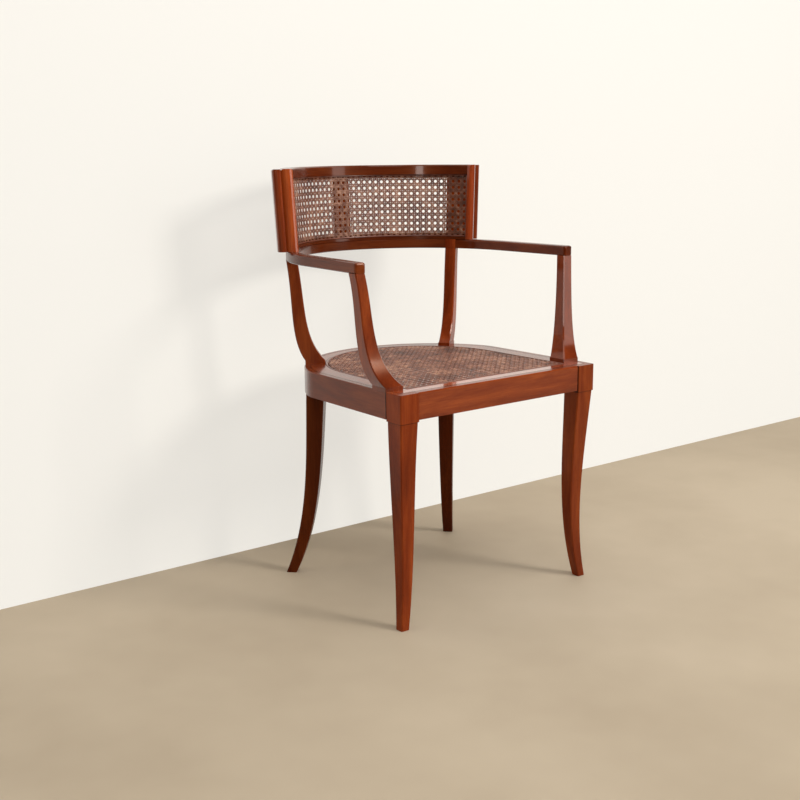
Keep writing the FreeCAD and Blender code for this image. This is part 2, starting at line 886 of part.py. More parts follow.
def reed(inner, outer, length, bottom, top):
    """An upright with a rounded front and eased top corners, leaning with the back."""
    origin, angle = stile_origin()
    shift = flared_radius(0, bottom)
    near, far = inner + shift, outer + shift
    half = (far - near) / 2.0
    nose_radius = (half ** 2 + reed_nose ** 2) / (2.0 * reed_nose)
    half_turn = math.asin(half / nose_radius)
    places = [(far, length), (near, length)]
    for step in range(reed_nose_flats + 1):
        turn = half_turn * (2.0 * step / reed_nose_flats - 1.0)
        places.append((near + half + nose_radius * math.sin(turn), nose_radius * (1.0 - math.cos(turn))))
    profile = Part.Face(closed_wire([turned(u, v, bottom, origin, angle) for u, v in places]))
    lean = flared_radius(0, top) - shift
    upright = profile.extrude(V(lean * math.cos(angle), lean * math.sin(angle), top - bottom))
    return upright.cut([top_wedge(near + lean, 1.0, top), top_wedge(far + lean, -1.0, top)])


def top_wedge(edge, inward, top):
    """What is taken off one top corner of a reed, at a radius, along the reed's length."""
    origin, angle = stile_origin()
    size = reed_top_radius
    corners = (
        (edge - inward * size, top - 2.0 * size),
        (edge + inward * 2.0 * size, top + size),
        (edge - inward * size, top + size),
    )
    points = [turned(u, -beyond, z, origin, angle) for u, z in corners]
    along = V(-math.sin(angle), math.cos(angle), 0)
    return Part.Face(closed_wire(points)).extrude(along * (2.0 * beyond))


def end_stile():
    """Right end stile, with a cheek behind the cane that reaches the rear post."""
    stile = reed(bow_inner_radius, bow_outer_radius, stile_length, arm_top_height, back_top_height)
    cane_back = bow_inner_radius + back_cane_setback + cane_thickness + curved_clearance
    low, high = back_opening_bottom + rebate_overlap, back_opening_top - rebate_overlap
    section = [
        (flared_radius(cane_back, low), low),
        (flared_radius(bow_outer_radius, low), low),
        (flared_radius(bow_outer_radius, high), high),
        (flared_radius(cane_back, high), high),
    ]
    cheek = bow_sweep(section, stile_bearing_deg, rear_post_bearing_deg)
    cheek = cheek.cut([stile_cutter(), post_cutter(-1.0)])
    return stile.fuse(cheek).removeSplitter()


def back_rail(corners, rebate_bottom, rebate_top):
    """A curved rail of the caned back, with a lip that runs on behind the cane's edge."""
    cane_back = bow_inner_radius + back_cane_setback + cane_thickness + curved_clearance
    rebate = (
        (cane_back, rebate_bottom),
        (bow_outer_radius, rebate_bottom),
        (bow_outer_radius, rebate_top),
        (cane_back, rebate_top),
    )
    start, end = stile_bearing_deg, 180.0 - stile_bearing_deg
    main, lip = [
        bow_sweep([(flared_radius(radius, z), z) for radius, z in section], start, end)
        for section in (corners, rebate)
    ]
    cutter = stile_cutter()
    return main.fuse(lip).removeSplitter().cut([cutter, mirrored(cutter)]).removeSplitter()


def top_rail():
    corners = (
        (bow_inner_radius, back_opening_top),
        (bow_outer_radius, back_opening_top),
        (bow_outer_radius, back_top_height - back_top_radius),
        (bow_outer_radius - back_top_radius, back_top_height),
        (bow_inner_radius + back_top_radius, back_top_height),
        (bow_inner_radius, back_top_height - back_top_radius),
    )
    return back_rail(corners, back_opening_top - rebate_overlap, back_opening_top)


def bottom_rail():
    corners = (
        (bow_inner_radius, arm_top_height),
        (bow_outer_radius, arm_top_height),
        (bow_outer_radius, back_opening_bottom),
        (bow_inner_radius, back_opening_bottom),
    )
    rail = back_rail(corners, back_opening_bottom, back_opening_bottom + rebate_overlap)
    post = back_stile(
        rear_post_width / 2.0, (0.0, bow_y), math.radians(rear_post_bearing_deg), arm_top_height
    )
    return rail.cut([post, mirrored(post)])


def centre_stile():
    stile = back_stile(centre_stile_width / 2.0, (0.0, bow_y), math.radians(90.0), arm_top_height)
    below = box(
        -seat_width, -half_depth, 0, seat_width, overall_depth, back_opening_bottom + rebate_overlap
    )
    return stile.cut(below)


def back_cane():
    """The caned panel of the back, its weave drawn as a lattice of openings."""
    cane_front = bow_inner_radius + back_cane_setback
    section = []
    for radius, z in (
        (cane_front, back_opening_bottom),
        (cane_front + cane_thickness, back_opening_bottom),
        (cane_front + cane_thickness, back_opening_top),
        (cane_front, back_opening_top),
    ):
        section.append((flared_radius(radius, z), z))
    sheet = bow_sweep(section, stile_bearing_deg, 180.0 - stile_bearing_deg)
    cutter = stile_cutter()
    sheet = sheet.cut([cutter, mirrored(cutter)])
    half_reach = math.radians(90.0 - stile_bearing_deg) * cane_front - stile_length
    columns = spaced(-half_reach, half_reach, back_cane_columns, back_cane_bar)
    rows = spaced(back_opening_bottom, back_opening_top, back_cane_rows, back_cane_bar)
    openings = []
    for low, high in columns:
        points = [V(0, bow_y, 0)]
        for distance in (low, high):
            angle = math.pi / 2.0 + distance / cane_front
            points.append(V(beyond * math.cos(angle), bow_y + beyond * math.sin(angle), 0))
        wedge = Part.Face(closed_wire(points))
        openings += [prism(wedge, bottom, top) for bottom, top in rows]
    return sheet.cut(openings)


def back_spline():
    """The bead round the cane of the back, one closed ring."""
    outer = bow_inner_radius + back_cane_setback - curved_clearance
    inner = outer - back_spline_depth

    def band(bottom, top):
        section = []
        for radius, z in ((inner, bottom), (outer, bottom), (outer, top), (inner, top)):
            section.append((flared_radius(radius, z), z))
        return bow_sweep(section, stile_bearing_deg, 180.0 - stile_bearing_deg)

    cutter = stile_cutter()
    whole = band(back_opening_bottom, back_opening_top).cut([cutter, mirrored(cutter)])
    window = band(back_opening_bottom + back_spline_width, back_opening_top - back_spline_width)
    window_cutter = stile_cutter()
    angle = math.radians(stile_bearing_deg)
    window_cutter.translate(V(-math.sin(angle), math.cos(angle), 0) * back_spline_width)
    window = window.cut([window_cutter, mirrored(window_cutter)])
    return whole.cut(window)


def outer_reed():
    """Right outer reed, planted on the end of the back beyond the bow."""
    return reed(
        bow_outer_radius,
        bow_outer_radius + reed_width,
        reed_length,
        arm_top_height,
        back_top_height - spline_proud,
    )


def main():
    os.makedirs("parts", exist_ok=True)
    frame_front, frame_right, frame_rear = seat_frame_pieces()
    paired = {
        "front_leg": front_leg(),
        "rear_leg": rear_leg(),
        "side_rail": side_rail(),
        "seat_frame_side": frame_right,
        "front_brace": front_brace(),
        "arm_post": front_post(),
        "back_post": rear_post(),
        "arm": arm(),
        "end_stile": end_stile(),
        "outer_reed": outer_reed(),
    }
    for name, shape in paired.items():
        save(name + "_right", shape)
        save(name + "_left", mirrored(shape))
    single = {
        "front_rail": front_rail(),
        "rear_rail": rear_rail(),
        "seat_frame_front": frame_front,
        "seat_frame_rear": frame_rear,
        "seat_cane": seat_cane(),
        "seat_spline": seat_spline(),
        "bow_rail": bow(),
        "back_top_rail": top_rail(),
        "back_bottom_rail": bottom_rail(),
        "back_centre_stile": centre_stile(),
        "back_cane": back_cane(),
        "back_spline": back_spline(),
        "corner_screws": corner_screws(),
    }
    for name, shape in single.items():
        save(name, shape)


main()
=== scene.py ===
"""Looks for a caned armchair on sabre legs: mahogany in a satin lacquer and woven cane."""

import math

import bpy
from mathutils import Matrix, Vector


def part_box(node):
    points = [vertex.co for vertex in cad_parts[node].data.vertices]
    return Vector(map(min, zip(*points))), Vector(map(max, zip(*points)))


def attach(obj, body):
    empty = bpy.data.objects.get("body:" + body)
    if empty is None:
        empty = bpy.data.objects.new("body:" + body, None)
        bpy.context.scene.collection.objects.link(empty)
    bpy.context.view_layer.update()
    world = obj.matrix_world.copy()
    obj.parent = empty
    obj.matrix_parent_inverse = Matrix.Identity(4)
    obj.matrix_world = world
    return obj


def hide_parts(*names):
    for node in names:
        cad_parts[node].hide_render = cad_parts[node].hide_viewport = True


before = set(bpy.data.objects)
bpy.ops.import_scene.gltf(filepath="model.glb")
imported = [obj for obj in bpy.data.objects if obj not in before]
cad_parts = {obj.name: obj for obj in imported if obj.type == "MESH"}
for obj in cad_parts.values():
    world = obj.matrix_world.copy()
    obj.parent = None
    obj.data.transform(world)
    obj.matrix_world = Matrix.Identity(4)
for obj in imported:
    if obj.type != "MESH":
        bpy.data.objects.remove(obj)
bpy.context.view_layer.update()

# Camera, as the photograph was taken: metres and degrees
CAMERA_PLACE = (-1.5282, -1.8931, 0.8724)
CAMERA_YAW = 38.16
CAMERA_PITCH = 11.94
CAMERA_ROLL = -0.404
CAMERA_LENS = 55.04
SENSOR_WIDTH = 36.0

# Bow's upright axis and the lean of the back, from the frame's own pieces
BOW_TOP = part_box("bow_rail")[1]
BACK_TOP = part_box("back_top_rail")[1]
BOW_OUTER_RADIUS = 0.259
BOW_THICKNESS = 0.022
BOW_CENTRE_Y = BOW_TOP.y - BOW_OUTER_RADIUS
BACK_LEAN = (BACK_TOP.y - BOW_TOP.y) / (BACK_TOP.z - BOW_TOP.z)

# Panel of the seat's cane: straight sides that draw in towards the rear
SEAT_LOW, SEAT_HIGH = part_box("seat_cane")
SIDE_TAPER = math.radians(1.7)

# Weave of both caned panels, in metres
PITCH = 0.0127
PAIR_GAP = 0.0040
STRAND_WIDTH = 0.0025
DIAGONAL_WIDTH = 0.0028
STRAND_THICKNESS = 0.0009
CROSSING_RISE = 0.0005
DIAGONAL_RISE = 0.0010

# A strand's section, in shares of its half width and of its thickness
STRAND_FLAT = 0.62
STRAND_CROWN = 0.45
STRAND_EDGE = 0.2

# How finely strands are laid, a diagonal's step beside a straight one's, and the spare pairs
# laid past a panel's edges, which the panel then cuts off
STEPS_PER_PITCH = 5.0
DIAGONAL_STEP = 0.75
SPARE_PAIRS = 2


class Value:
    """A number on a shader socket, which takes part in sums."""

    def __init__(self, finish, socket):
        self.finish = finish
        self.socket = socket

    def by(self, operation, *others):
        """A number worked out from this one and others."""
        inputs = {0: self}
        inputs.update({place + 1: other for place, other in enumerate(others)})
        return self.finish.node("Math", {"operation": operation}, inputs)

    def __add__(self, other):
        return self.by("ADD", other)

    def __sub__(self, other):
        return self.by("SUBTRACT", other)

    def __mul__(self, other):
        return self.by("MULTIPLY", other)

    __radd__ = __add__


class Finish:
    """The look of a material, or of the world, being built node by node."""

    def __init__(self, owner):
        self.owner = owner
        owner.use_nodes = True
        self.tree = owner.node_tree
        self.tree.nodes.clear()

    def node(self, kind, settings=None, inputs=None, output=0):
        """A node of any kind, with its settings made before its sockets are filled."""
        made = self.tree.nodes.new("ShaderNode" + kind)
        for name, setting in (settings or {}).items():
            if name == "stops":
                ramp = made.color_ramp.elements
                while len(ramp) < len(setting):
                    ramp.new(0.5)
                for element, (place, colour) in zip(ramp, setting):
                    element.position = place
                    element.color = tuple(colour) + (1.0,)
            else:
                setattr(made, name, setting)
        for name, given in (inputs or {}).items():
            socket = made.inputs[name]
            if isinstance(given, Value):
                self.tree.links.new(given.socket, socket)
            else:
                socket.default_value = given
        return Value(self, made.outputs[output]) if made.outputs else None

    def place(self):
        """Object coordinates as three numbers, in metres."""
        whole = self.node("TexCoord", output="Object")
        return [self.node("SeparateXYZ", inputs={0: whole}, output=axis) for axis in range(3)]

    def noise(self, place, scales, detail=3.0, roughness=0.5, distortion=0.0):
        """Noise over a place, with so many periods to the metre along each of its axes."""
        parts = [part * scale for part, scale in zip(place, scales)]
        vector = self.node("CombineXYZ", inputs=dict(enumerate(parts)))
        inputs = {"Vector": vector, "Scale": 1.0, "Detail": detail}
        inputs.update({"Roughness": roughness, "Distortion": distortion})
        return self.node("TexNoise", inputs=inputs)

    def ramp(self, factor, *stops):
        """A colour picked from stops by a factor."""
        return self.node("ValToRGB", {"stops": stops}, {"Fac": factor})

    def blend(self, factor, first, second):
        """A mix of two colours by a factor."""
        inputs = {0: factor, 6: first, 7: second}
        return self.node("Mix", {"data_type": "RGBA"}, inputs, output=2)

    def close(self, shader, kind="OutputMaterial"):
        """Ends the nodes in an output, and gives back what they belong to."""
        self.node(kind, inputs={"Surface": shader})
        return self.owner


def new_finish(name):
    """The look of a new material."""
    return Finish(bpy.data.materials.new(name))


def toned(stops, tone):
    """Stops of a ramp, their colours scaled by a tone."""
    return [(at, [part * tone for part in colour]) for at, colour in stops]


# Finishes of wood, cane, reed and steel

# Dark of the pores, also used for the painted shade along the seat's joints
DARK_PORE_AND_SHADE = (0.014, 0.002, 0.001)
DEEP_MAHOGANY = (0.052, 0.006, 0.001)
MID_MAHOGANY = (0.160, 0.023, 0.004)
PALE_MAHOGANY = (0.330, 0.066, 0.012)
STAIN_STOPS = ((0.30, DEEP_MAHOGANY), (0.50, MID_MAHOGANY), (0.72, PALE_MAHOGANY))

# Features of the grain: periods to the metre along the run and on the two axes across it
FIGURE = (5.0, 26.0, 26.0)
RIBBON = (2.2, 9.0, 9.0)
STREAK = (16.0, 420.0, 420.0)
PORE = (70.0, 1500.0, 1500.0)

# How much figure, ribbon and streak count in the shade, how far pores darken it, and how far
# each axis is shifted from one piece to the next
SHADE_SHARES = (0.50, 0.34, 0.16)
PORE_DEPTH = 0.45
SEED_SHIFTS = (1.7, 0.37, 0.11)


def grain_place(finish, run, seed):
    """Coordinates whose first axis runs along the grain, shifted so that no two pieces match."""
    x, y, z = finish.place()
    if run == "bow":
        across = y - BOW_CENTRE_Y
        angle = across.by("ARCTAN2", x)
        radius = (x * x + across * across).by("SQRT")
        axes = angle * BOW_OUTER_RADIUS, radius, z
    elif run == "x":
        axes = x, y, z
    elif run == "y":
        axes = y, x, z
    else:
        axes = z, x, y
    return [axis + seed * shift for axis, shift in zip(axes, SEED_SHIFTS)]


# Joint lines of the seat: painted shade in the seams beside the legs' blocks, under the blocks and
# round the inset frame
BLOCK_INNER_X = 0.2005
BLOCK_REAR_Y = -0.217
BLOCK_BOTTOM = 0.3875
INSET_FRONT_Y = -0.243
INSET_HALF_WIDTH = 0.2305
JOINT_SHADE_WIDTH = 0.0007
INSET_SHADE_WIDTH = 0.0024
JOINT_SHADE_DEPTH = 0.85


def painted_joint_shade(finish, root):
    """Mask of painted shade: the strip along which a kind of piece darkens beside its neighbour.
    """
    x, y, z = finish.place()
    off_middle = x.by("ABSOLUTE")
    if root == "front_leg":
        beside_front = off_middle.by("LESS_THAN", BLOCK_INNER_X + JOINT_SHADE_WIDTH)
        beside_side = y.by("GREATER_THAN", BLOCK_REAR_Y - JOINT_SHADE_WIDTH)
        in_block = z.by("GREATER_THAN", BLOCK_BOTTOM)
        # Painted contact shadow in a strip just under the block
        under_block = z.by("COMPARE", BLOCK_BOTTOM - JOINT_SHADE_WIDTH, JOINT_SHADE_WIDTH)
        return (beside_front.by("MAXIMUM", beside_side) * in_block).by("MAXIMUM", under_block)
    if root == "front_rail":
        return off_middle.by("GREATER_THAN", BLOCK_INNER_X - JOINT_SHADE_WIDTH)
    if root == "side_rail":
        return y.by("LESS_THAN", BLOCK_REAR_Y + JOINT_SHADE_WIDTH)
    if root == "seat_frame_front":
        return y.by("LESS_THAN", INSET_FRONT_Y + INSET_SHADE_WIDTH)
    if root == "seat_frame_side":
        reach = off_middle + (y - BLOCK_REAR_Y) * math.tan(SIDE_TAPER)
        return reach.by("GREATER_THAN", INSET_HALF_WIDTH - INSET_SHADE_WIDTH)
    return None


def mahogany(name, root, run, seed, tone, gloss):
    """Lacquered mahogany: soft ribbon figure, fine dark pores and a satin coat.

    The tone scales the stain, and the gloss is the weight of the coat over it.
    """
    finish = new_finish(name)
    place = grain_place(finish, run, seed)
    figure = finish.noise(place, FIGURE, 4.0, 0.55, 0.6)
    ribbon = finish.noise(place, RIBBON, 2.0, 0.5, 0.3)
    streak = finish.noise(place, STREAK, 3.0, 0.6)
    pore = finish.noise(place, PORE, 2.0, 0.5)
    figure_share, ribbon_share, streak_share = SHADE_SHARES
    shade = figure * figure_share + ribbon * ribbon_share + streak * streak_share
    colour = finish.ramp(shade, *toned(STAIN_STOPS, tone))
    pores = finish.ramp(pore, (0.60, (0, 0, 0)), (0.74, (1, 1, 1)))
    colour = finish.blend(pores * PORE_DEPTH, colour, DARK_PORE_AND_SHADE + (1.0,))
    # Painted shade along the joints, in the dark of the pores
    line = painted_joint_shade(finish, root)
    if line is not None:
        colour = finish.blend(line * JOINT_SHADE_DEPTH, colour, DARK_PORE_AND_SHADE + (1.0,))
    rough = 0.16 + streak * 0.10 + ribbon * 0.06
    relief = streak * 0.6 - pores * 0.5
    bump = finish.node("Bump", inputs={"Strength": 0.10, "Distance": 0.0002, "Height": relief})
    surface = finish.node(
        "BsdfPrincipled",
        inputs={
            "Base Color": colour,
            "Roughness": rough,
            "Normal": bump,
            "IOR": 1.48,
            "Specular IOR Level": 0.13 + 0.30 * gloss,
            "Specular Tint": (1.0, 0.55, 0.32, 1.0),
            "Coat Weight": gloss,
            "Coat Roughness": 0.08,
            "Coat IOR": 1.5,
        },
    )
    return finish.close(surface)


DARK_CANE = (0.080, 0.018, 0.007)
BROWN_CANE = (0.250, 0.078, 0.036)
WORN_CANE = (0.60, 0.30, 0.18)
CANE_STOPS = ((0.34, DARK_CANE), (0.50, BROWN_CANE), (0.66, WORN_CANE))
DARK_REED = (0.075, 0.017, 0.009)
BROWN_REED = (0.21, 0.060, 0.030)
STEEL = (0.45, 0.44, 0.42, 1.0)


def cane_strand(name, tone):
    """Split rattan, stained brown, with a glossy bark side and pale worn streaks."""
    finish = new_finish(name)
    place = finish.place()
    mottle = finish.noise(place, (90.0, 90.0, 90.0), 3.0, 0.6)
    patch = finish.noise(place, (14.0, 14.0, 14.0), 2.0, 0.5)
    shade = mottle * 0.6 + patch * 0.4
    colour = finish.ramp(shade, *toned(CANE_STOPS, tone))
    surface = finish.node(
        "BsdfPrincipled",
        inputs={
            "Base Color": colour,
            "Roughness": 0.30 + mottle * 0.2,
            "IOR": 1.5,
            "Coat Weight": 0.4,
            "Coat Roughness": 0.2,
        },
    )
    return finish.close(surface)


def reed_bead(name):
    """Round reed of the splines, stained as dark as the wood, with faint lengthwise fibres."""
    finish = new_finish(name)
    fibre = finish.noise(finish.place(), (60.0, 60.0, 400.0), 3.0, 0.6)
    colour = finish.ramp(fibre, (0.35, DARK_REED), (0.65, BROWN_REED))
    surface = finish.node(
        "BsdfPrincipled",
        inputs={
            "Base Color": colour,
            "Roughness": 0.28 + fibre * 0.15,
            "Coat Weight": 0.6,
            "Coat Roughness": 0.15,
        },
    )
    return finish.close(surface)


def screw_steel():
    """Bright steel of the brace screws, a little worn."""
    finish = new_finish("screw_steel")
    wear = finish.noise(finish.place(), (300.0, 300.0, 300.0))
    inputs = {"Base Color": STEEL, "Metallic": 1.0, "Roughness": 0.3 + wear * 0.2}
    return finish.close(finish.node("BsdfPrincipled", inputs=inputs))


# Each kind of piece, or one piece by its full name: which way its grain runs, its tone, and how
# far its coat was rubbed up. The tone holds painted light and shade as well as the wood's own.
WOODEN_PIECES = {
    "front_leg": ("z", 1.12, 0.08),
    "front_leg_right": ("z", 0.92, 0.10),
    # Rear legs darkened as painted shade beneath the seat
    "rear_leg": ("z", 0.40, 0.05),
    "front_rail": ("x", 1.04, 0.38),
    "side_rail": ("y", 0.78, 0.32),
    "rear_rail": ("bow", 0.70, 0.20),
    # Front strip of the seat frame paled as a painted reflection
    "seat_frame_front": ("x", 1.80, 1.00),
    "seat_frame_side": ("y", 0.95, 0.45),
    "seat_frame_rear": ("bow", 0.90, 0.45),
    "front_brace": ("x", 0.85, 0.10),
    "arm_post": ("z", 1.02, 0.50),
    "back_post": ("z", 1.30, 0.20),
    # Left back post darker than the right one as painted shade
    "back_post_left": ("z", 0.85, 0.25),
    "arm": ("y", 0.64, 0.26),
    "bow_rail": ("bow", 0.47, 0.50),
    "back_top_rail": ("bow", 0.50, 0.55),
    "back_bottom_rail": ("bow", 0.42, 0.55),
    "back_centre_stile": ("z", 0.70, 0.25),
    # End stiles and outer reeds paled as painted highlight
    "end_stile": ("z", 1.60, 1.00),
    "outer_reed": ("z", 1.20, 0.90),
}


def finish_wood():
    """Gives each CAD node that stays its wood or steel."""
    for place, (name, node) in enumerate(sorted(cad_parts.items())):
        root = name.replace("_left", "").replace("_right", "")
        if root in WOODEN_PIECES:
            run, tone, gloss = WOODEN_PIECES.get(name, WOODEN_PIECES[root])
            material = mahogany("mahogany_" + name, root, run, 1.0 + place, tone, gloss)
        elif root == "corner_screws":
            material = screw_steel()
        else:
            continue
        node.data.materials.clear()
        node.data.materials.append(material)


# Woven cane

class Mesh:
    """Corners and faces that grow strand by strand."""

    def __init__(self):
        self.corners = []
        self.faces = []

    def tube(self, rings, closed=False):
        """Joins rings of corners into a tube, closed on itself or capped at both ends."""
        start = len(self.corners)
        sides = len(rings[0])
        for ring in rings:
            self.corners.extend(ring)
        count = len(rings)
        for ring in range(count if closed else count - 1):
            low = start + ring * sides
            high = start + (ring + 1) % count * sides
            for side in range(sides):
                after = (side + 1) % sides
                self.faces.append((low + side, low + after, high + after, high + side))
        if not closed:
            self.faces.append(tuple(start + side for side in reversed(range(sides))))
            last = start + (count - 1) * sides
            self.faces.append(tuple(last + side for side in range(sides)))

    def piece(self, name, material):
        """A smooth piece of all corners and faces so far."""
        data = bpy.data.meshes.new(name)
        data.from_pydata([tuple(corner) for corner in self.corners], [], self.faces)
        data.validate()
        data.update()
        data.polygons.foreach_set("use_smooth", [True] * len(data.polygons))
        piece = bpy.data.objects.new(name, data)
        bpy.context.scene.collection.objects.link(piece)
        data.materials.append(material)
        return piece


def laid(mesh, surface, points, heights, section, closed=False):
    """A strand of the given section along points of a panel, at heights above its middle."""
    count = len(points)
    rings = []
    for index, (s, t) in enumerate(points):
        before = points[index - 1] if closed or index else points[0]
        after = points[(index + 1) % count] if closed or index + 1 < count else points[-1]
        run_s, run_t = after[0] - before[0], after[1] - before[1]
        length = math.hypot(run_s, run_t)
        side_s, side_t = -run_t / length, run_s / length
        rings.append(
            [
                surface(s + side_s * across, t + side_t * across, heights[index] + up)
                for across, up in section
            ]
        )
    mesh.tube(rings, closed)


def bead_section(width, height, sides=10):
    """Round section of a reed bead."""
    turns = [2.0 * math.pi * side / sides for side in range(sides)]
    return [(math.cos(turn) * width / 2.0, math.sin(turn) * height / 2.0) for turn in turns]


def strand_section(width):
    """Flat underside, crowned top, as (across, up) corners."""
    half, thick = width / 2.0, STRAND_THICKNESS
    return (
        (-half, -thick * STRAND_EDGE),
        (-half * STRAND_FLAT, -thick * 0.5),
        (half * STRAND_FLAT, -thick * 0.5),
        (half, -thick * STRAND_EDGE),
        (half * STRAND_CROWN, thick * 0.5),
        (-half * STRAND_CROWN, thick * 0.5),
    )


def wave(along, knots):
    """Height of a strand between the places where it crosses others, smoothly eased."""
    for (start, low), (end, high) in zip(knots, knots[1:]):
        if start <= along <= end:
            share = (along - start) / (end - start)
            return low + (high - low) * (1.0 - math.cos(math.pi * share)) / 2.0
    return knots[-1][1]


def straight_height(along, first):
    """Rise of an upright or level strand: over one of a crossing pair and under the other."""
    near = along % PITCH
    half = PAIR_GAP / 2.0
    up = CROSSING_RISE if first else -CROSSING_RISE
    knots = [
        (0.0, 0.0),
        (PITCH / 2.0 - half, up),
        (PITCH / 2.0 + half, -up),
        (PITCH, 0.0),
    ]
    return wave(near, knots)


def diagonal_height(along, over_first):
    """Rise of a diagonal: over the level pairs and under the upright ones, or the reverse."""
    turn = math.cos(2.0 * math.pi * along / PITCH)
    return DIAGONAL_RISE * (turn if over_first else -turn)


def inside_runs(start, end, step, within):
    """Stretches of a line that lie inside the panel, as lists of evenly spaced places."""
    runs, current = [], []
    count = max(2, int(round((end - start) / step)))
    for index in range(count + 1):
        along = start + (end - start) * index / count
        if within(along):
            current.append(along)
        elif current:
            runs.append(current)
            current = []
    if current:
        runs.append(current)
    return [run for run in runs if len(run) > 2]


def weave(mesh, low, high, within, surface):
    """Six-way cane over a flat panel from low to high, laid on a surface by its own map.

    Level and upright strands run in pairs. Diagonals cross midway between the pairs, so
    that each hole is an octagon.
    """
    step = PITCH / STEPS_PER_PITCH
    (low_s, low_t), (high_s, high_t) = low, high
    columns = range(int(low_s / PITCH) - SPARE_PAIRS, int(high_s / PITCH) + SPARE_PAIRS)
    rows = range(int(low_t / PITCH) - SPARE_PAIRS, int(high_t / PITCH) + SPARE_PAIRS)

    def lay(points, heights, width):
        laid(mesh, surface, points, heights, strand_section(width))

    for column in columns:
        for side in (-0.5, 0.5):
            s = (column + 0.5) * PITCH + side * PAIR_GAP
            for run in inside_runs(low_t, high_t, step, lambda t: within(s, t)):
                heights = [straight_height(t, side > 0) for t in run]
                lay([(s, t) for t in run], heights, STRAND_WIDTH)
    for row in rows:
        for side in (-0.5, 0.5):
            t = (row + 0.5) * PITCH + side * PAIR_GAP
            for run in inside_runs(low_s, high_s, step, lambda s: within(s, t)):
                heights = [straight_height(s, side < 0) for s in run]
                lay([(s, t) for s in run], heights, STRAND_WIDTH)
    reach = int((high_s - low_s + high_t - low_t) / PITCH) + 2 * SPARE_PAIRS
    for slope in (1, -1):
        for line in range(-reach, reach):
            offset = (line + 0.5) * PITCH

            def on(s):
                return slope * s + offset

            close_step = step * DIAGONAL_STEP
            for run in inside_runs(low_s, high_s, close_step, lambda s: within(s, on(s))):
                heights = [diagonal_height(s, slope > 0) for s in run]
                lay([(s, on(s)) for s in run], heights, DIAGONAL_WIDTH)


# Seat panel: middle of the cane, how far its edge is hidden and how much of that the strands
# reach into, the bead's section, the cane's tone, and where each straight side has corners
SEAT_CANE_HEIGHT = (SEAT_LOW.z + SEAT_HIGH.z) / 2.0
CANE_BEARING = 0.0045
STRAND_HOLD = 0.003
SEAT_BEAD_WIDTH = 0.0040
SEAT_BEAD_HEIGHT = 0.0046
SEAT_CANE_TONE = 0.80
SIDE_SHARES = (0.02, 0.5, 0.98)


def seat_field(margin):
    """Front edge, half-width there, and the rear arc's radius and centre, drawn in by a margin."""
    front_y, rear_y = SEAT_LOW.y + margin, SEAT_HIGH.y - margin
    side = SEAT_HIGH.x - margin
    slope = math.sin(SIDE_TAPER)
    radius = (side - slope * (rear_y - front_y)) / (1.0 - slope)
    return front_y, side, radius, rear_y - radius


def in_seat(x, y, margin):
    """Whether a place lies on the panel, at least a margin inside its edge."""
    front_y, side, radius, centre_y = seat_field(margin)
    if y < front_y:
        return False
    if y > centre_y + radius * math.sin(SIDE_TAPER):
        return math.hypot(x, y - centre_y) <= radius
    return abs(x) <= side - (y - front_y) * math.tan(SIDE_TAPER)


def seat_outline(margin, steps=48):
    """Corners round the panel: along the front, up the right side and round the rear."""
    front_y, side, radius, centre_y = seat_field(margin)
    points = [(-side, front_y), (-side / 3.0, front_y), (side / 3.0, front_y), (side, front_y)]
    tangent = (radius * math.cos(SIDE_TAPER), centre_y + radius * math.sin(SIDE_TAPER))
    for share in SIDE_SHARES:
        x = side + (tangent[0] - side) * share
        points.append((x, front_y + (tangent[1] - front_y) * share))
    for step in range(steps + 1):
        turn = SIDE_TAPER + (math.pi - 2.0 * SIDE_TAPER) * step / steps
        points.append((radius * math.cos(turn), centre_y + radius * math.sin(turn)))
    for share in reversed(SIDE_SHARES):
        x = side + (tangent[0] - side) * share
        points.append((-x, front_y + (tangent[1] - front_y) * share))
    return points


def place_piece(piece, node):
    """Puts a piece on the chair in place of a CAD node."""
    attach(piece, "root")
    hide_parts(node)


def seat_bead():
    """Reed bead in the groove round the seat's cane."""
    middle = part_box("seat_spline")[1].z - SEAT_BEAD_HEIGHT / 2.0
    mesh = Mesh()
    points = seat_outline(-SEAT_BEAD_WIDTH / 2.0)
    section = bead_section(SEAT_BEAD_WIDTH, SEAT_BEAD_HEIGHT)

    def surface(s, t, up):
        return (s, t, middle + up)

    laid(mesh, surface, points, [0.0] * len(points), section, closed=True)
    place_piece(mesh.piece("seat_bead", reed_bead("seat_reed")), "seat_spline")


def seat_weave():
    """Flat weave of the seat, held under its bead."""
    mesh = Mesh()
    margin = CANE_BEARING - STRAND_HOLD

    def surface(s, t, up):
        return (s, t, SEAT_CANE_HEIGHT + up)

    weave(
        mesh,
        (SEAT_LOW.x, SEAT_LOW.y),
        (SEAT_HIGH.x, SEAT_HIGH.y),
        lambda s, t: in_seat(s, t, margin),
        surface,
    )
    cane = cane_strand("seat_cane_strand", SEAT_CANE_TONE)
    place_piece(mesh.piece("seat_weave", cane), "seat_cane")


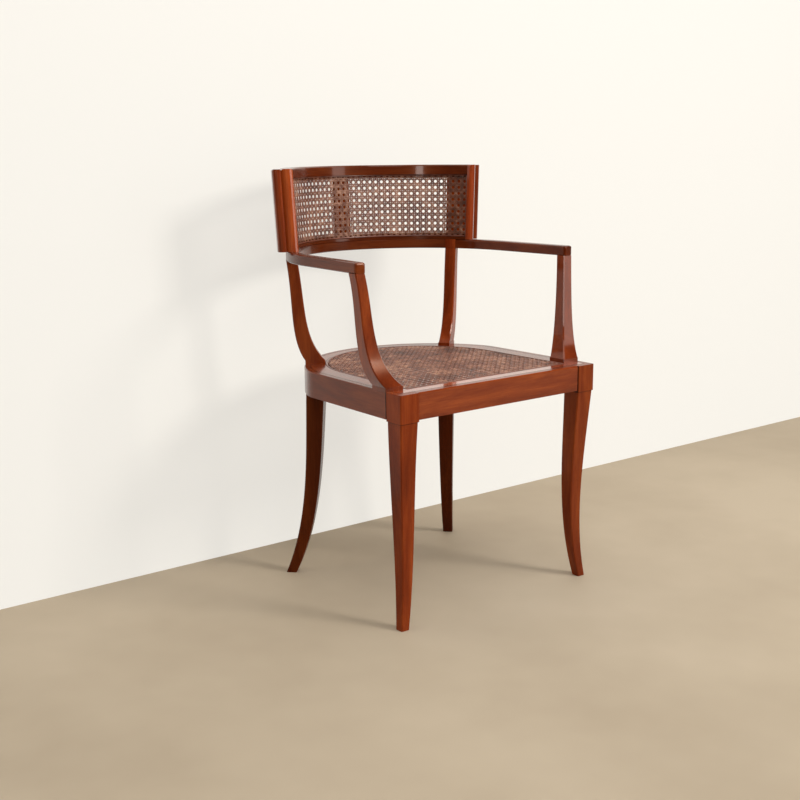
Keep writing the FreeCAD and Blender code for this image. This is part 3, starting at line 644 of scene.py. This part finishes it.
# Back panel: how far its cane lies behind the bow's inner face, where the end stiles stand on
# the bow and how much of it they take, the bead's section and its rise off the cane, the
# cane's tone, where each end has corners, and the panel's own size
CANE_SETBACK = 0.005
CANE_RADIUS = BOW_OUTER_RADIUS - BOW_THICKNESS + CANE_SETBACK
STILE_BEARING = math.radians(22.4)
STILE_LENGTH = 0.012
BACK_BEAD_WIDTH = 0.0032
BACK_BEAD_DEPTH = 0.0024
BACK_BEAD_RISE = 0.00145
BACK_CANE_TONE = 0.72
END_SHARES = (-0.97, 0.0, 0.97)
CANE_LOW, CANE_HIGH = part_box("back_cane")
PANEL_MIDDLE = (CANE_LOW.z + CANE_HIGH.z) / 2.0
PANEL_HALF_HEIGHT = (CANE_HIGH.z - CANE_LOW.z) / 2.0
PANEL_HALF_WIDTH = (math.pi / 2.0 - STILE_BEARING) * CANE_RADIUS - STILE_LENGTH


def back_surface(s, t, up):
    """A place on the curved panel, from its distances along and up and its height off it."""
    z = PANEL_MIDDLE + t
    angle = s / CANE_RADIUS
    radius = CANE_RADIUS + BACK_LEAN * (z - BOW_TOP.z) - up
    return (radius * math.sin(angle), BOW_CENTRE_Y + radius * math.cos(angle), z)


def back_weave():
    """Weave of the back, bent round the bow's axis and leaning with the rails."""
    mesh = Mesh()
    weave(
        mesh,
        (-PANEL_HALF_WIDTH, -PANEL_HALF_HEIGHT),
        (PANEL_HALF_WIDTH, PANEL_HALF_HEIGHT),
        lambda s, t: abs(s) <= PANEL_HALF_WIDTH and abs(t) <= PANEL_HALF_HEIGHT,
        back_surface,
    )
    cane = cane_strand("back_cane_strand", BACK_CANE_TONE)
    place_piece(mesh.piece("back_weave", cane), "back_cane")


def back_bead(steps=60):
    """Reed bead round the back's cane, one closed loop."""
    reach = PANEL_HALF_WIDTH - BACK_BEAD_WIDTH / 2.0
    rise = PANEL_HALF_HEIGHT - BACK_BEAD_WIDTH / 2.0
    along = [reach * (2.0 * step / steps - 1.0) for step in range(steps + 1)]
    points = [(s, -rise) for s in along]
    points += [(reach, rise * share) for share in END_SHARES]
    points += [(s, rise) for s in reversed(along)]
    points += [(-reach, rise * share) for share in reversed(END_SHARES)]
    mesh = Mesh()
    section = bead_section(BACK_BEAD_WIDTH, BACK_BEAD_DEPTH)
    laid(mesh, back_surface, points, [BACK_BEAD_RISE] * len(points), section, closed=True)
    place_piece(mesh.piece("back_bead", reed_bead("back_reed")), "back_spline")


# Stage: left, right, near and far edges of the floor, and the wall's place and top
STAGE_EDGES = (-7.0, 9.0, -7.0, 7.0)
WALL_Y = 0.32
WALL_TOP = 4.5
PALE_FLOOR = (0.465, 0.39, 0.292)
DULL_FLOOR = (0.395, 0.325, 0.238)
WALL_COLOUR = (0.86, 0.84, 0.79, 1.0)
WALL_PAINT = (0.94, 0.92, 0.865, 1.0)
WALL_PAINT_SHARE = 0.66

# World: the ray that each tone is kept for, its colour and its strength
WORLD_TONES = (
    (None, (1.0, 0.975, 0.94, 1.0), 0.37),
    ("Is Glossy Ray", (1.0, 0.975, 0.94, 1.0), 0.04),
    ("Is Camera Ray", (0.94, 0.93, 0.90, 1.0), 1.0),
)

# Lamps: place, what they point at, size, power and colour
LAMPS = {
    "key": ((2.45, -4.65, 3.05), (0.0, 0.0, 0.45), (1.4, 1.4), 195.0, (1.0, 0.965, 0.91)),
    "window": ((2.3, -2.3, 1.25), (0.0, 0.0, 0.6), (0.9, 1.7), 11.0, (1.0, 0.98, 0.95)),
    "screen": ((-2.15, -2.45, 1.5), (0.0, 0.0, 0.6), (0.4, 1.3), 11.0, (1.0, 0.98, 0.95)),
    "top": ((0.0, -1.0, 3.2), (0.0, 0.2, 0.0), (2.4, 2.4), 44.0, (1.0, 0.985, 0.96)),
}


def add_sheet(name, corners, material):
    """One flat face of the stage."""
    data = bpy.data.meshes.new(name)
    data.from_pydata(corners, [], [(0, 1, 2, 3)])
    sheet = bpy.data.objects.new(name, data)
    bpy.context.scene.collection.objects.link(sheet)
    data.materials.append(material)


def floor_finish():
    """Pale floor with faint clouds, as trowelled concrete has."""
    finish = new_finish("pale_floor")
    cloud = finish.noise(finish.place(), (1.5, 1.5, 1.5), 4.0, 0.6)
    colour = finish.ramp(cloud, (0.35, DULL_FLOOR), (0.65, PALE_FLOOR))
    inputs = {"Base Color": colour, "Roughness": 0.65, "Specular IOR Level": 0.25}
    return finish.close(finish.node("BsdfPrincipled", inputs=inputs))


def wall_finish():
    """Painted wall that keeps a soft shadow, and lets a camera behind it see the chair."""
    finish = new_finish("pale_wall")
    inputs = {"Base Color": WALL_COLOUR, "Roughness": 0.65, "Specular IOR Level": 0.25}
    lit = finish.node("BsdfPrincipled", inputs=inputs)
    paint = finish.node("Emission", inputs={"Color": WALL_PAINT, "Strength": 1.0})
    direct = finish.node("LightPath", output="Is Camera Ray")
    mirrored = finish.node("LightPath", output="Is Glossy Ray")
    share = direct.by("MAXIMUM", mirrored) * WALL_PAINT_SHARE
    front = finish.node("MixShader", inputs={0: share, 1: lit, 2: paint})
    behind = finish.node("NewGeometry", output="Backfacing")
    clear = finish.node("BsdfTransparent")
    return finish.close(finish.node("MixShader", inputs={0: behind, 1: front, 2: clear}))


def add_stage():
    """A pale floor and a plain wall close behind the chair."""
    left, right, near, far = STAGE_EDGES
    floor = [(left, near, 0.0), (right, near, 0.0), (right, far, 0.0), (left, far, 0.0)]
    wall_foot = [(left, WALL_Y, 0.0), (right, WALL_Y, 0.0)]
    wall_head = [(right, WALL_Y, WALL_TOP), (left, WALL_Y, WALL_TOP)]
    add_sheet("floor", floor, floor_finish())
    add_sheet("wall", wall_foot + wall_head, wall_finish())


def add_world():
    """Soft room light, which gloss mirrors darker, and a pale tone past the stage."""
    world = bpy.data.worlds.new("studio")
    bpy.context.scene.world = world
    finish = Finish(world)
    shader = None
    for ray, colour, strength in WORLD_TONES:
        tone = finish.node("Background", inputs={"Color": colour, "Strength": strength})
        if ray:
            seen = finish.node("LightPath", output=ray)
            tone = finish.node("MixShader", inputs={0: seen, 1: shader, 2: tone})
        shader = tone
    finish.close(shader, "OutputWorld")


def add_lamp(name, place, target, size, power, colour):
    """A soft box that faces its target."""
    data = bpy.data.lights.new(name, "AREA")
    data.shape = "RECTANGLE"
    data.size, data.size_y = size
    data.energy = power
    data.color = colour
    lamp = bpy.data.objects.new(name, data)
    bpy.context.scene.collection.objects.link(lamp)
    lamp.location = place
    direction = Vector(target) - Vector(place)
    lamp.rotation_euler = direction.to_track_quat("-Z", "Y").to_euler()


def add_camera():
    """The photograph's own viewpoint, turned by yaw, then pitch, then roll."""
    yaw, pitch, roll = [math.radians(turn) for turn in (CAMERA_YAW, CAMERA_PITCH, CAMERA_ROLL)]
    level = math.cos(pitch)
    forward = Vector((math.sin(yaw) * level, math.cos(yaw) * level, -math.sin(pitch)))
    level_right = Vector((math.cos(yaw), -math.sin(yaw), 0.0))
    level_up = level_right.cross(forward)
    right = level_right * math.cos(roll) + level_up * math.sin(roll)
    up = level_up * math.cos(roll) - level_right * math.sin(roll)
    data = bpy.data.cameras.new("camera")
    data.sensor_width = SENSOR_WIDTH
    data.lens = CAMERA_LENS
    camera = bpy.data.objects.new("camera", data)
    bpy.context.scene.collection.objects.link(camera)
    turn = Matrix((right, up, -forward)).transposed().to_4x4()
    camera.matrix_world = Matrix.Translation(CAMERA_PLACE) @ turn
    bpy.context.scene.camera = camera


finish_wood()
seat_weave()
back_weave()
seat_bead()
back_bead()
add_stage()
add_world()
for lamp_name, lamp in LAMPS.items():
    add_lamp(lamp_name, *lamp)
add_camera()
bpy.context.scene.view_settings.view_transform = "Standard"
